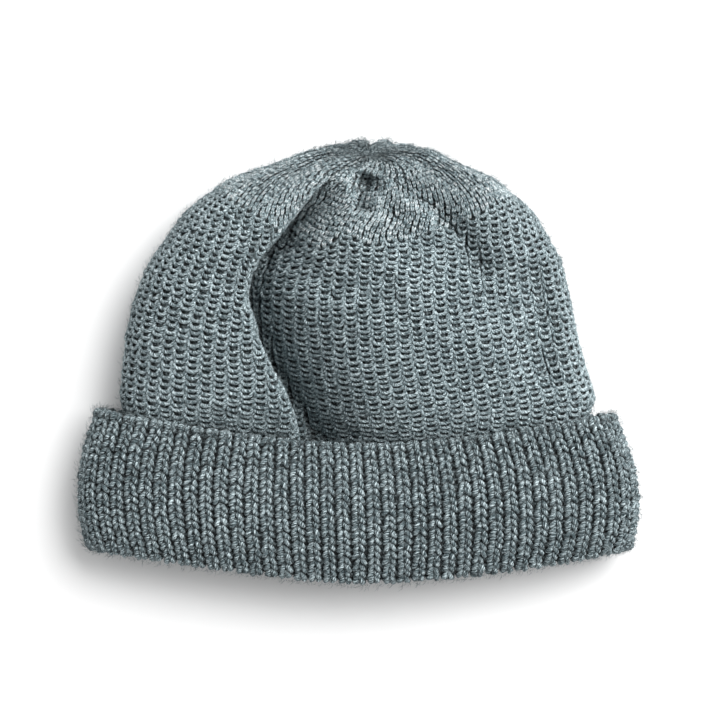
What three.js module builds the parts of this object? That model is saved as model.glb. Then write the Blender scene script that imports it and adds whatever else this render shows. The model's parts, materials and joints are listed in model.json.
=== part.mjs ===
// Wool beanie with a turned-up cuff, lying on its back with the opening toward -Y.
// Millimetres, +Z up. It is one tube of fisherman's rib: the crown is gathered shut at the
// top, and its lower end is turned up outside as the cuff.
import * as THREE from 'three';

// Driving dimensions
const hatLength = 188;        // hem fold to the top of the crown, along the floor
const crownWidth = 200;       // across the crown where it leaves the cuff
const crownThickness = 47;    // floor to the crown's highest section, before the folds
const cuffHeight = 60;        // hem fold to the cuff's upper edge, at the middle of the front
const cuffThickness = 40;     // floor to the highest row of the cuff
const cuffBulge = 8.3;        // how far the cuff swells past its upper edge at each side
const sideSlack = 6.4;        // between crown and cuff at each side of the cuff's upper edge
const frontSlack = 3;         // between crown and cuff at the front of the cuff's upper edge
const knitWall = 3.8;         // one layer of the knit, measured over its ribs
const layerGap = 0.3;         // between the cuff's layer and the crown's layer inside it
const hemGap = 0.5;           // between the crown's lower edge and the hem fold that it sits on
const innerBend = 2.6;        // radius left inside both layers where they bend round the sides
const ribCount = 80;          // raised ribs around the tube
const ribDepth = 1.2;         // from a rib's crest down to the valley beside it
const pleatCount = 11;        // small pleats that the gathered top draws up
const pleatDepth = 1.8;       // from a pleat's crest down to its valley, where they are deepest

// How round the cross-sections are: 2 is an ellipse, more is squarer.
const sectionRoundness = 2.3;
// How sharply the rows of knitting turn down toward the sides.
const rowBend = 1.5;
// The largest share of a section's height that its side bend may take.
const tight = 0.7;
// How much of the back is pressed flat on the floor.
const restSpread = 1.16;
// Makes a row's sag reach its full size where it is deepest, between the middle and the side.
const sagCurve = 2.6;

const table = (columns, rows) => rows.map((row) => (
  Object.fromEntries(columns.map((column, k) => [column, row[k]]))
));

// Sections of the cuff, from the hem fold up to its edge. front, side and back are distances
// from the hem as shares of cuffHeight, and half is how far the row swells, as a share of
// cuffBulge. lean is a share of half the crownWidth, top and edge are shares of cuffThickness.
// sag is how much lower the right half hangs than the left, and lift how much higher the left
// side stands, both as shares of cuffHeight.
const cuffSections = table(
  ['front', 'side', 'back', 'half', 'lean', 'top', 'edge', 'sag', 'lift'],
  [
    [0.05, 0.285, 0.16, 0.74, 0.008, 0.78, 0.36, 0.012, 0.000],
    [0.295, 0.48, 0.36, 0.99, 0.006, 0.93, 0.40, 0.020, 0.000],
    [0.57, 0.71, 0.60, 1.00, 0.002, 1.00, 0.42, 0.016, 0.010],
    [0.81, 0.93, 0.83, 0.66, -0.002, 1.00, 0.45, 0.010, 0.020],
    [0.98, 1.19, 1.00, 0.00, -0.008, 0.96, 0.47, 0.008, 0.032],
  ],
);

// Sections of the crown from just above the cuff to the gather. front, side and back are
// distances from the cuff's upper edge as shares of the crown's open length. half and lean are
// shares of half the crownWidth, and top, edge and floor are shares of crownThickness. gather
// is how strongly the pleats show.
const crownSections = table(
  ['front', 'side', 'back', 'half', 'lean', 'top', 'edge', 'floor', 'gather'],
  [
    [0.076, 0.156, 0.091, 0.998, 0.000, 0.82, 0.40, 0.03, 0.0],
    [0.171, 0.236, 0.185, 0.982, -0.010, 0.91, 0.39, 0.00, 0.0],
    [0.287, 0.345, 0.302, 0.955, -0.022, 0.97, 0.39, 0.00, 0.0],
    [0.403, 0.440, 0.418, 0.930, -0.022, 1.00, 0.39, 0.00, 0.0],
    [0.513, 0.527, 0.534, 0.900, -0.018, 1.00, 0.39, 0.00, 0.0],
    [0.614, 0.607, 0.643, 0.862, -0.008, 0.98, 0.39, 0.00, 0.0],
    [0.702, 0.680, 0.745, 0.802, 0.000, 0.94, 0.39, 0.00, 0.0],
    [0.770, 0.753, 0.833, 0.742, 0.006, 0.89, 0.40, 0.01, 0.2],
    [0.822, 0.817, 0.904, 0.650, 0.012, 0.83, 0.42, 0.04, 0.5],
    [0.863, 0.872, 0.959, 0.555, 0.021, 0.77, 0.45, 0.10, 0.9],
    [0.895, 0.921, 0.997, 0.390, 0.040, 0.70, 0.50, 0.20, 1.0],
    [0.921, 0.962, 1.003, 0.245, 0.060, 0.64, 0.55, 0.36, 0.8],
    [0.937, 0.956, 0.977, 0.090, 0.044, 0.59, 0.57, 0.54, 0.3],
  ],
);
const gatherPoint = { front: 0.946, lean: 0.042, top: 0.57 };

// Where the crown leaves the cuff: the same columns as the two tables, some as shares.
const throatShares = { side: 0.083, back: 0.018, half: 0.975, edge: 0.38 };

// Lines that the folds of the crown's front follow, seen from above. Each point is
// [across, along]: a share of half the crownWidth from the middle, and a share of the crown's
// open length from the cuff's upper edge.
const foldLines = {
  crease: [
    [-0.05, 0.854], [-0.28, 0.673], [-0.40, 0.549], [-0.42, 0.432],
    [-0.33, 0.258], [-0.21, 0.025], [-0.17, -0.135],
  ],
  pocket: [[0.03, 0.920], [0.02, 0.862], [0.00, 0.789]],
  leftPleat: [[0.02, 0.905], [-0.10, 0.833], [-0.22, 0.753]],
  rightPleat: [[0.06, 0.905], [0.20, 0.811], [0.34, 0.709]],
  rightValley: [[0.16, 0.811], [0.34, 0.680], [0.52, 0.563], [0.58, 0.360]],
  shoulder: [[0.10, 0.913], [0.38, 0.840], [0.60, 0.782], [0.74, 0.651]],
  sideGroove: [[0.70, 0.622], [0.76, 0.418], [0.76, 0.156]],
  panelDent: [[-0.20, 0.476], [0.00, 0.447], [0.20, 0.505]],
};

// Folds of the crown's front. height is a share of crownThickness, and a valley has less than
// nothing. offset, left and right are shares of half the crownWidth: how far the fold lies
// beside its line, and how far it reaches to each side. push carries the crest sideways.
const folds = table(
  ['line', 'height', 'offset', 'left', 'right', 'push'],
  [
    ['crease', -0.34, 0.04, 0.06, 0.25, 0],
    ['crease', 0.09, -0.10, 0.34, 0.10, 0.05],
    ['pocket', -0.20, 0, 0.07, 0.06, 0],
    ['leftPleat', 0.06, 0, 0.06, 0.05, 0],
    ['rightPleat', 0.07, 0, 0.07, 0.09, 0],
    ['rightValley', -0.09, 0, 0.18, 0.14, 0],
    ['shoulder', 0.06, 0, 0.12, 0.12, 0],
    ['sideGroove', -0.07, 0, 0.10, 0.07, 0],
    ['panelDent', -0.05, 0, 0.16, 0.16, 0],
  ],
);
// Shares of a fold's line over which it rises at its first end and dies away at its last.
const foldStart = 0.22;
const foldEnd = 0.15;
// Shares of a section's height between which the folds of the front come in.
const foldLow = 0.15;
const foldHigh = 0.75;
// How many sections above the cuff a ridge needs to stand free of it.
const ridgeStart = 1.5;

// How finely the surfaces are drawn
const pointsPerRib = 2;
const around = ribCount * pointsPerRib;
const loopSteps = 720;
const crownRows = 12;
const cuffRows = 3;
const turnSteps = 3;

// Sizes that follow
const halfCrown = crownWidth / 2;
const cuffEdgeHalf = halfCrown + sideSlack + knitWall;
const cuffEdge = cuffSections.at(-1);
const openStart = cuffEdge.front * cuffHeight;
const openLength = hatLength - openStart;
const foldRadius = knitWall + layerGap / 2;
const sideBend = 2 * foldRadius + innerBend;

const wool = { color: 0x6d7b7d, roughness: 0.95, metalness: 0 };

const smooth = (low, high, x) => THREE.MathUtils.smoothstep(x, low, high);
const sway = (x, power) => Math.sign(x) * Math.abs(x) ** power;

// One row of a table at any place between its rows, by a smooth curve through them.
function sectionAt(table, place) {
  const last = table.length - 1;
  const index = Math.min(Math.floor(place), last - 1);
  const t = place - index;
  const row = (k) => table[THREE.MathUtils.clamp(k, 0, last)];
  const section = {};
  for (const column of Object.keys(table[0])) {
    const [a, b, c, d] = [index - 1, index, index + 1, index + 2].map((k) => row(k)[column]);
    const slopeIn = (c - a) / 2;
    const slopeOut = (d - b) / 2;
    const rise = c - b;
    section[column] = b + t * slopeIn
      + t * t * (3 * rise - 2 * slopeIn - slopeOut)
      + t * t * t * (slopeIn + slopeOut - 2 * rise);
  }
  return section;
}

// The section's closed outline in real sizes, from the middle of the back to +X, the front,
// -X and round again. It is a flatter core with a round bend laid around it, so that the
// cloth never turns more tightly than that bend.
function outline({ front, side, back, half, lean, top, edge, floor, sag, lift }) {
  const bend = Math.min(sideBend, tight * (top - edge), tight * (edge - floor), half / 2);
  const core = [];
  for (let step = 0; step < loopSteps; step += 1) {
    const angle = (2 * Math.PI * step) / loopSteps;
    const across = (half - bend) * sway(Math.sin(angle), 2 / sectionRoundness);
    const up = sway(-Math.cos(angle), 2 / sectionRoundness);
    const height = up > 0
      ? (top - edge - bend) * up
      : (edge - floor - bend) * Math.max(-1, restSpread * up);
    core.push(new THREE.Vector2(across, height));
  }
  return core.map((point, step) => {
    const before = core[(step + loopSteps - 1) % loopSteps];
    const after = core[(step + 1) % loopSteps];
    const run = after.clone().sub(before).normalize();
    const x = point.x + bend * run.y;
    const z = point.y - bend * run.x;
    const share = THREE.MathUtils.clamp(x / half, -1, 1);
    const inward = 1 - Math.abs(share) ** rowBend;
    const hang = sag * sagCurve * share * (1 - share * share);
    const raised = lift * Math.max(0, -share) ** 2;
    const along = side + ((z > 0 ? front : back) - side) * inward - hang + raised;
    return new THREE.Vector3(lean + x, along, edge + z);
  });
}

// The same outline as evenly spaced points, one for each place around the tube.
function evenly(points) {
  const lengths = [0];
  for (let k = 0; k < points.length; k += 1) {
    lengths.push(lengths[k] + points[k].distanceTo(points[(k + 1) % points.length]));
  }
  const total = lengths[points.length];
  const ring = [];
  let k = 0;
  for (let j = 0; j < around; j += 1) {
    const target = (total * j) / around;
    while (lengths[k + 1] < target) k += 1;
    const share = (target - lengths[k]) / (lengths[k + 1] - lengths[k]);
    ring.push(points[k].clone().lerp(points[(k + 1) % points.length], share));
  }
  return ring;
}

// The fold lines as real curves on the floor plan
const foldPaths = {};
for (const [name, line] of Object.entries(foldLines)) {
  const corners = line.map(([x, y]) => new THREE.Vector3(x * halfCrown, openStart + y * openLength, 0));
  foldPaths[name] = new THREE.CatmullRomCurve3(corners).getPoints(40);
}

// Where a point lies beside a fold's line: its distance to the line, more than nothing on the
// +X side, the share of the line passed there, and the way across the line.
function besideLine(path, point) {
  let best = { distance: Infinity };
  for (let k = 0; k < path.length - 1; k += 1) {
    const run = path[k + 1].clone().sub(path[k]);
    const from = new THREE.Vector3(point.x - path[k].x, point.y - path[k].y, 0);
    const t = THREE.MathUtils.clamp(from.dot(run) / run.lengthSq(), 0, 1);
    const distance = from.clone().addScaledVector(run, -t).length();
    if (distance < best.distance) {
      const across = new THREE.Vector3(-run.y, run.x, 0).normalize();
      best = { distance, share: (k + t) / (path.length - 1), across, side: Math.sign(from.dot(across)) };
    }
  }
  return { ...best, distance: best.distance * best.side };
}

// Moves a point of the crown's front by every fold. shown fades the folds out toward the
// silhouette, and risen fades out the ridges where the cuff holds the crown down.
function fold(point, shown, risen) {
  const moved = point.clone();
  for (const { line, height, offset, left, right, push } of folds) {
    const beside = besideLine(foldPaths[line], point);
    const distance = beside.distance - offset * halfCrown;
    const reach = (distance < 0 ? left : right) * halfCrown;
    const ends = smooth(0, foldStart, beside.share) * smooth(0, foldEnd, 1 - beside.share);
    const held = height > 0 ? risen : 1;
    const amount = held * shown * ends * Math.exp(-((distance / reach) ** 2));
    moved.z += height * crownThickness * amount;
    moved.addScaledVector(beside.across, push * halfCrown * amount);
  }
  return moved;
}

// One ring of the cuff's outer surface, over the crests of its ribs.
function cuffRing(place) {
  const s = sectionAt(cuffSections, place);
  return evenly(outline({
    front: s.front * cuffHeight,
    side: s.side * cuffHeight,
    back: s.back * cuffHeight,
    half: cuffEdgeHalf + s.half * cuffBulge,
    lean: s.lean * halfCrown,
    top: s.top * cuffThickness,
    edge: s.edge * cuffThickness,
    floor: 0,
    sag: s.sag * cuffHeight,
    lift: s.lift * cuffHeight,
  }));
}

// The crown's sections in real sizes, with the throat inside the cuff's edge as the first.
const throat = {
  front: openStart,
  side: openStart + throatShares.side * openLength,
  back: openStart + throatShares.back * openLength,
  half: throatShares.half * halfCrown,
  lean: 0,
  top: cuffEdge.top * cuffThickness - knitWall - frontSlack,
  edge: throatShares.edge * crownThickness,
  floor: knitWall + 2 * layerGap,
  gather: 0,
  sag: 0,
  lift: 0,
};
const crownTable = [throat, ...crownSections.map((s) => ({
  front: openStart + s.front * openLength,
  side: openStart + s.side * openLength,
  back: openStart + s.back * openLength,
  half: s.half * halfCrown,
  lean: s.lean * halfCrown,
  top: s.top * crownThickness,
  edge: s.edge * crownThickness,
  floor: s.floor * crownThickness,
  gather: s.gather,
  sag: 0,
  lift: 0,
}))];

// One ring of the crown's outer surface above the cuff, with its folds.
function crownRing(place) {
  const s = sectionAt(crownTable, place);
  const points = outline({ ...s, floor: Math.max(0, s.floor) });
  const risen = smooth(0, ridgeStart, place);
  const folded = points.map((point) => {
    const high = (point.z - s.edge) / (s.top - s.edge);
    return fold(point, smooth(foldLow, foldHigh, high), risen);
  });
  return evenly(folded);
}

// The outward direction at each point of a grid of rings.
function normalsOf(rings) {
  return rings.map((ring, row) => ring.map((point, j) => {
    const along = rings[Math.min(row + 1, rings.length - 1)][j].clone()
      .sub(rings[Math.max(row - 1, 0)][j]);
    const round = ring[(j + 1) % around].clone().sub(ring[(j + around - 1) % around]);
    return along.cross(round).normalize();
  }));
}

// The same surface pushed inward by a depth at every point.
function inward(rings, normals, depth) {
  return rings.map((ring, row) => ring.map((point, j) => {
    const amount = typeof depth === 'function' ? depth(point, j, row) : depth;
    return point.clone().addScaledVector(normals[row][j], -amount);
  }));
}

// The length of a ring
const lengthOf = (ring) => ring.reduce((sum, point, j) => (
  sum + point.distanceTo(ring[(j + 1) % ring.length])
), 0);

// The valleys between the ribs of a set of rings. They are pressed out where the hat rests on
// the floor, and grow shallow where the ribs are drawn together.
function ribsOf(rings) {
  const sizes = rings.map(lengthOf);
  const full = Math.max(...sizes);
  return (point, j, row) => {
    const inValley = j % pointsPerRib === 0 ? 0 : 1;
    return ribDepth * inValley * smooth(0, 2 * ribDepth, point.z) * (sizes[row] / full);
  };
}

// One point for each rib, for the plain inner faces. The first ring, where the two layers
// meet, keeps all its points.
const everyRib = (ring, row) => (
  row === 0 ? ring : ring.filter((point, j) => j % pointsPerRib === 0)
);

// A closed mesh through a list of rings and single points, in order.
function skin(rings, closed) {
  const vertices = [];
  const starts = rings.map((ring) => {
    const start = vertices.length;
    vertices.push(...ring);
    return start;
  });
  const triangles = [];
  const join = (a, b) => {
    const [na, nb] = [rings[a].length, rings[b].length];
    const steps = Math.max(na, nb);
    const at = (row, n, k) => starts[row] + (Math.floor((k * n) / steps) % n);
    for (let k = 0; k < steps; k += 1) {
      const [a0, a1] = [at(a, na, k), at(a, na, k + 1)];
      const [b0, b1] = [at(b, nb, k), at(b, nb, k + 1)];
      if (a0 !== a1) triangles.push([a0, b0, a1]);
      if (b0 !== b1) triangles.push([a1, b0, b1]);
    }
  };
  for (let k = 0; k < rings.length - 1; k += 1) join(k, k + 1);
  if (closed) join(rings.length - 1, 0);
  const geometry = new THREE.BufferGeometry();
  geometry.setAttribute('position', new THREE.Float32BufferAttribute(
    vertices.flatMap((v) => [v.x, v.y, v.z]),
    3,
  ));
  geometry.setIndex(triangles.flat());
  return geometry;
}

// The knitted layers, drawn over the crests of their ribs. The crown's lower rings follow the
// inside of the cuff, and ease away from it toward the place where the crown leaves the cuff.
const places = (rows, sections) => Array.from(
  { length: rows + 1 },
  (_, k) => (k / rows) * (sections.length - 1),
);
const cuffRings = places(cuffRows, cuffSections).map(cuffRing);
const cuffNormals = normalsOf(cuffRings);
const crownPlaces = places(crownRows, crownTable);
const openRings = crownPlaces.map(crownRing);
const nested = inward(cuffRings, cuffNormals, knitWall + layerGap).slice(0, cuffRows);
const tuckedRings = nested.map((ring, row) => ring.map((point, j) => {
  const eased = smooth(0, 1, row / cuffRows) ** 2;
  const target = new THREE.Vector3(openRings[0][j].x, point.y, openRings[0][j].z);
  const up = cuffRings[row + 1][j].clone().sub(cuffRings[row][j]).normalize();
  return point.clone().lerp(target, eased).addScaledVector(up, row === 0 ? hemGap : 0);
}));

function crownGeometry() {
  const crests = [...tuckedRings, ...openRings];
  const gathers = [
    ...tuckedRings.map(() => 0),
    ...crownPlaces.map((place) => Math.max(0, sectionAt(crownTable, place).gather)),
  ];
  const normals = normalsOf(crests);
  [normals[0]] = cuffNormals;
  const pleat = (point, j, row) => {
    const turn = Math.cos((2 * Math.PI * pleatCount * j) / around);
    const clear = smooth(0, 4 * pleatDepth, point.z);
    return pleatDepth * gathers[row] * clear * (1 - turn) / 2;
  };
  const pleated = inward(crests, normals, pleat);
  const outside = inward(pleated, normals, ribsOf(pleated));
  const inside = inward(pleated, normals, knitWall).map(everyRib);
  const tip = new THREE.Vector3(
    gatherPoint.lean * halfCrown,
    openStart + gatherPoint.front * openLength,
    gatherPoint.top * crownThickness,
  );
  const lastInside = inside.at(-1);
  const tipInside = lastInside.reduce((sum, point) => sum.add(point), new THREE.Vector3())
    .divideScalar(lastInside.length);
  return skin([[tipInside], ...inside.reverse(), ...outside, [tip]], false);
}

function cuffGeometry() {
  const ribbed = ribsOf(cuffRings);
  const outside = inward(cuffRings, cuffNormals, ribbed);
  const inside = inward(cuffRings, cuffNormals, knitWall).map(everyRib);
  const top = cuffRings.length - 1;
  // A turn is a half round from one face of the cloth to another, about a line at a depth
  // below the outer surface. way is 1 up the tube and -1 down it.
  const turn = (row, way, radius) => {
    const from = row === 0 ? 0 : row - 1;
    return Array.from({ length: turnSteps - 1 }, (_, step) => {
      const angle = (Math.PI * (step + 1)) / turnSteps;
      return cuffRings[row].map((point, j) => {
        const up = cuffRings[from + 1][j].clone().sub(cuffRings[from][j]).normalize();
        const size = radius - ribbed(point, j, row) * Math.cos(angle / 2);
        const centre = point.clone().addScaledVector(cuffNormals[row][j], -radius);
        return centre
          .addScaledVector(cuffNormals[row][j], size * Math.cos(angle))
          .addScaledVector(up, way * size * Math.sin(angle));
      });
    });
  };
  const rim = turn(top, 1, knitWall / 2);
  const hem = turn(0, -1, foldRadius).reverse();
  const [innerEnd] = inward(cuffRings, cuffNormals, 2 * foldRadius);
  return skin([...outside, ...rim, ...inside.reverse(), innerEnd, ...hem], true);
}

// The finished hat, moved so that its origin is on the floor under the middle of its box
const hat = new THREE.Group();
for (const [name, geometry] of [['crown', crownGeometry()], ['cuff', cuffGeometry()]]) {
  const mesh = new THREE.Mesh(geometry, new THREE.MeshStandardMaterial(wool));
  mesh.name = name;
  mesh.geometry.computeVertexNormals();
  hat.add(mesh);
}
const box = new THREE.Box3().setFromObject(hat);
const middle = box.getCenter(new THREE.Vector3());
hat.position.set(-middle.x, -middle.y, -box.min.z);

export default hat;
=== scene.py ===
# %% [markdown]
# # A wool beanie with a turned-up cuff
# The hat is one knitted tube of heathered grey-teal wool. It lies on its back on a pale floor:
# the crown is gathered shut at the top and sinks into a long fold, and the lower end of the
# tube is turned up outside as a cuff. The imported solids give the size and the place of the
# crown and the cuff. This script dresses them in yarn, stitch by stitch.

# %% Load the frame
import json
import math

import bpy
import numpy as np
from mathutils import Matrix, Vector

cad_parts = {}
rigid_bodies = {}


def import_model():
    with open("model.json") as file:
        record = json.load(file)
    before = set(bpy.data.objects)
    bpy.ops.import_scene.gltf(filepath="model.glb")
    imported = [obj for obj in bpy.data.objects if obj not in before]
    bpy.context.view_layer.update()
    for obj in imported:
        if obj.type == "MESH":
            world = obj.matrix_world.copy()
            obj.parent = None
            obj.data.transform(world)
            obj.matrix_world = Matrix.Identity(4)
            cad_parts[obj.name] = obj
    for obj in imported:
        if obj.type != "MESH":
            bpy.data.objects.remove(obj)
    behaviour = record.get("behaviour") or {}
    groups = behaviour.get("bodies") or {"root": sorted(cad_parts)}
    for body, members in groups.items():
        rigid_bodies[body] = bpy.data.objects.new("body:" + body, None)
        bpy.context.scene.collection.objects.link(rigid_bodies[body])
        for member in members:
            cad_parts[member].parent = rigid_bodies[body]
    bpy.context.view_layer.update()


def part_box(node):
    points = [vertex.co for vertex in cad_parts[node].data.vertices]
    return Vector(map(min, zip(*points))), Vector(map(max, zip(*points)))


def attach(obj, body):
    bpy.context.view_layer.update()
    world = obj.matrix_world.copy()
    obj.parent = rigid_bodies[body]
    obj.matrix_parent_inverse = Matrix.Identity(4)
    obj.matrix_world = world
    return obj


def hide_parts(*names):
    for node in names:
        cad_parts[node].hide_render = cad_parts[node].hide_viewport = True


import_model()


def add_object(name, data):
    """A new object in the scene, at the world origin."""
    piece = bpy.data.objects.new(name, data)
    bpy.context.scene.collection.objects.link(piece)
    return piece


# %% [markdown]
# The camera comes first. The photograph looks straight down on the hat, so the camera hangs a
# metre above the floor and looks down. A long lens keeps the cuff, which stands up toward it,
# from growing too large. The lens could be found by eye, but the width of the picture at the
# height of the cuff's edge gives it exactly.

# %% Camera
MM = 0.001
PICTURE_WIDTH = 303.5 * MM     # what the picture spans at the height below
PICTURE_HEIGHT = 18 * MM
CAMERA_HEIGHT = 1.0
CAMERA_X = 0.84 * MM
SENSOR = 36

camera_data = bpy.data.cameras.new("camera")
camera_data.sensor_width = SENSOR
camera_data.lens = SENSOR * (CAMERA_HEIGHT - PICTURE_HEIGHT) / PICTURE_WIDTH
camera = add_object("camera", camera_data)
camera.location = (CAMERA_X, 0, CAMERA_HEIGHT)
bpy.context.scene.camera = camera
print("lens", round(camera_data.lens, 1), "mm")

# %% [markdown]
# The yarn has to lie on the same surface as the solids. The surface is a tube of sections: the
# cuff swells, the crown narrows, and both are flatter on the floor. It could be read from the
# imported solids, but those are faceted, so the same sizes and the same short tables are used
# here, and the surface is worked out again as finely as the stitches need.

# %% Sizes of the hat, in millimetres
HAT_LENGTH = 188
CROWN_WIDTH = 200
CROWN_THICKNESS = 47
CUFF_HEIGHT = 60
CUFF_THICKNESS = 40
CUFF_BULGE = 8.3
SIDE_SLACK = 6.4
FRONT_SLACK = 3
KNIT_WALL = 3.8
LAYER_GAP = 0.3
INNER_BEND = 2.6
RIBS = 80
PLEATS = 11
PLEAT_DEPTH = 1.8
ROUNDNESS = 2.3
ROW_BEND = 1.5
TIGHT = 0.7
REST_SPREAD = 1.16
SAG_CURVE = 2.6

HALF_CROWN = CROWN_WIDTH / 2
CUFF_EDGE_HALF = HALF_CROWN + SIDE_SLACK + KNIT_WALL
FOLD_RADIUS = KNIT_WALL + LAYER_GAP / 2
SIDE_BEND = 2 * FOLD_RADIUS + INNER_BEND

# %% Sections of the cuff and the crown
CUFF_COLUMNS = ["front", "side", "back", "half", "lean", "top", "edge", "sag", "lift"]
CUFF_ROWS = np.array([
    [0.05, 0.285, 0.16, 0.74, 0.008, 0.78, 0.36, 0.012, 0.000],
    [0.295, 0.48, 0.36, 0.99, 0.006, 0.93, 0.40, 0.020, 0.000],
    [0.57, 0.71, 0.60, 1.00, 0.002, 1.00, 0.42, 0.016, 0.010],
    [0.81, 0.93, 0.83, 0.66, -0.002, 1.00, 0.45, 0.010, 0.020],
    [0.98, 1.19, 1.00, 0.00, -0.008, 0.96, 0.47, 0.008, 0.032],
])
OPEN_START = CUFF_ROWS[-1][0] * CUFF_HEIGHT
OPEN_LENGTH = HAT_LENGTH - OPEN_START

CROWN_COLUMNS = ["front", "side", "back", "half", "lean", "top", "edge", "floor", "gather"]
CROWN_ROWS = np.array([
    [0.076, 0.156, 0.091, 0.998, 0.000, 0.82, 0.40, 0.03, 0.0],
    [0.171, 0.236, 0.185, 0.982, -0.010, 0.91, 0.39, 0.00, 0.0],
    [0.287, 0.345, 0.302, 0.955, -0.022, 0.97, 0.39, 0.00, 0.0],
    [0.403, 0.440, 0.418, 0.930, -0.022, 1.00, 0.39, 0.00, 0.0],
    [0.513, 0.527, 0.534, 0.900, -0.018, 1.00, 0.39, 0.00, 0.0],
    [0.614, 0.607, 0.643, 0.862, -0.008, 0.98, 0.39, 0.00, 0.0],
    [0.702, 0.680, 0.745, 0.802, 0.000, 0.94, 0.39, 0.00, 0.0],
    [0.770, 0.753, 0.833, 0.742, 0.006, 0.89, 0.40, 0.01, 0.2],
    [0.822, 0.817, 0.904, 0.650, 0.012, 0.83, 0.42, 0.04, 0.5],
    [0.863, 0.872, 0.959, 0.555, 0.021, 0.77, 0.45, 0.10, 0.9],
    [0.895, 0.921, 0.997, 0.390, 0.040, 0.70, 0.50, 0.20, 1.0],
    [0.921, 0.962, 1.003, 0.245, 0.060, 0.64, 0.55, 0.36, 0.8],
    [0.937, 0.956, 0.977, 0.090, 0.044, 0.59, 0.57, 0.54, 0.3],
])
THROAT = {"side": 0.083, "back": 0.018, "half": 0.975, "edge": 0.38}


def real_sizes(rows, columns, length, half, thickness, start=0.0):
    """Turns a table of shares into lengths. Distances along the hat start at start."""
    units = {**dict.fromkeys(("front", "side", "back", "sag", "lift"), length),
             **dict.fromkeys(("top", "edge", "floor"), thickness),
             "half": half, "lean": HALF_CROWN, "gather": 1}
    sizes = {name: rows[:, k] * units[name] for k, name in enumerate(columns)}
    for name in ("front", "side", "back"):
        sizes[name] = sizes[name] + start
    return sizes


cuff_table = real_sizes(CUFF_ROWS, CUFF_COLUMNS, CUFF_HEIGHT, CUFF_BULGE, CUFF_THICKNESS)
cuff_table["half"] = cuff_table["half"] + CUFF_EDGE_HALF
cuff_table["floor"] = np.zeros(len(CUFF_ROWS))

throat_row = [
    0, THROAT["side"], THROAT["back"], THROAT["half"], 0,
    (cuff_table["top"][-1] - KNIT_WALL - FRONT_SLACK) / CROWN_THICKNESS, THROAT["edge"],
    (KNIT_WALL + 2 * LAYER_GAP) / CROWN_THICKNESS, 0,
]
crown_table = real_sizes(np.vstack([throat_row, CROWN_ROWS]), CROWN_COLUMNS, OPEN_LENGTH,
                         HALF_CROWN, CROWN_THICKNESS, OPEN_START)
crown_table["sag"] = crown_table["lift"] = np.zeros(len(CROWN_ROWS) + 1)
print("sections:", len(CUFF_ROWS), "of the cuff,", len(CROWN_ROWS) + 1, "of the crown")

# %% [markdown]
# Each section is a closed outline around the hat: a flat core with a round bend laid around
# it, so that the thick cloth never turns more tightly than it can. Its points are then spaced
# evenly, because every rib of the knit takes the same share of the way around.

# %% Outlines around the hat
AROUND = RIBS * 4         # points around each ring, four for a rib
STEPS = 1440             # steps around an outline, before its points are spaced evenly


def section_at(table, place):
    """One section between the rows of a table, by a smooth curve through them."""
    last = len(table["front"]) - 1
    k = min(int(place), last - 1)
    t = place - k
    section = {}
    for name, column in table.items():
        a, b, c, d = (column[min(max(k + n, 0), last)] for n in (-1, 0, 1, 2))
        first, second, rise = (c - a) / 2, (d - b) / 2, c - b
        section[name] = (b + t * first + t * t * (3 * rise - 2 * first - second)
                         + t ** 3 * (first + second - 2 * rise))
    return section


def sway(x, power):
    return np.sign(x) * np.abs(x) ** power


def smooth(low, high, x):
    t = np.clip((x - low) / (high - low), 0, 1)
    return t * t * (3 - 2 * t)


def unit(vectors):
    return vectors / np.linalg.norm(vectors, axis=-1, keepdims=True)


def walked(path):
    """The length passed at each point of a path."""
    return np.concatenate([[0], np.cumsum(np.linalg.norm(np.diff(path, axis=0), axis=1))])


def outline(s):
    """The section's closed outline, from the middle of the back by +X to the front."""
    top, edge, floor, half = s["top"], s["edge"], s["floor"], s["half"]
    bend = min(SIDE_BEND, TIGHT * (top - edge), TIGHT * (edge - floor), half / 2)
    angle = 2 * math.pi * np.arange(STEPS) / STEPS
    up = sway(-np.cos(angle), 2 / ROUNDNESS)
    core = np.stack([
        (half - bend) * sway(np.sin(angle), 2 / ROUNDNESS),
        np.where(up > 0, (top - edge - bend) * up,
                 (edge - floor - bend) * np.maximum(-1, REST_SPREAD * up)),
    ], axis=1)
    run = unit(np.roll(core, -1, axis=0) - np.roll(core, 1, axis=0))
    x = core[:, 0] + bend * run[:, 1]
    z = core[:, 1] - bend * run[:, 0]
    share = np.clip(x / half, -1, 1)
    hang = s["sag"] * SAG_CURVE * share * (1 - share ** 2)
    raised = s["lift"] * np.maximum(0, -share) ** 2
    middle = np.where(z > 0, s["front"], s["back"])
    y = s["side"] + (middle - s["side"]) * (1 - np.abs(share) ** ROW_BEND) - hang + raised
    return np.stack([s["lean"] + x, y, edge + z], axis=1)


def shares_along(points):
    """How much of a closed outline is passed at each of its points, and at its end."""
    lengths = walked(np.vstack([points, points[:1]]))
    return lengths / lengths[-1]


def evenly(points, shares=None):
    """The same outline as evenly spaced points, by its own shares or by others."""
    closed = np.vstack([points, points[:1]])
    shares = shares_along(points) if shares is None else shares
    targets = np.arange(AROUND) / AROUND
    return np.stack([np.interp(targets, shares, closed[:, k]) for k in range(3)], axis=1)


# %% [markdown]
# The crown sinks into one long fold left of the middle, with a soft ridge beside it, and small
# pleats run down from the gathered top. A cloth simulation could fall into folds, but not into
# these ones. So each fold is a line on the plan with a height and a reach to each side, and it
# moves the front of the crown and leaves the silhouette alone.

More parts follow.
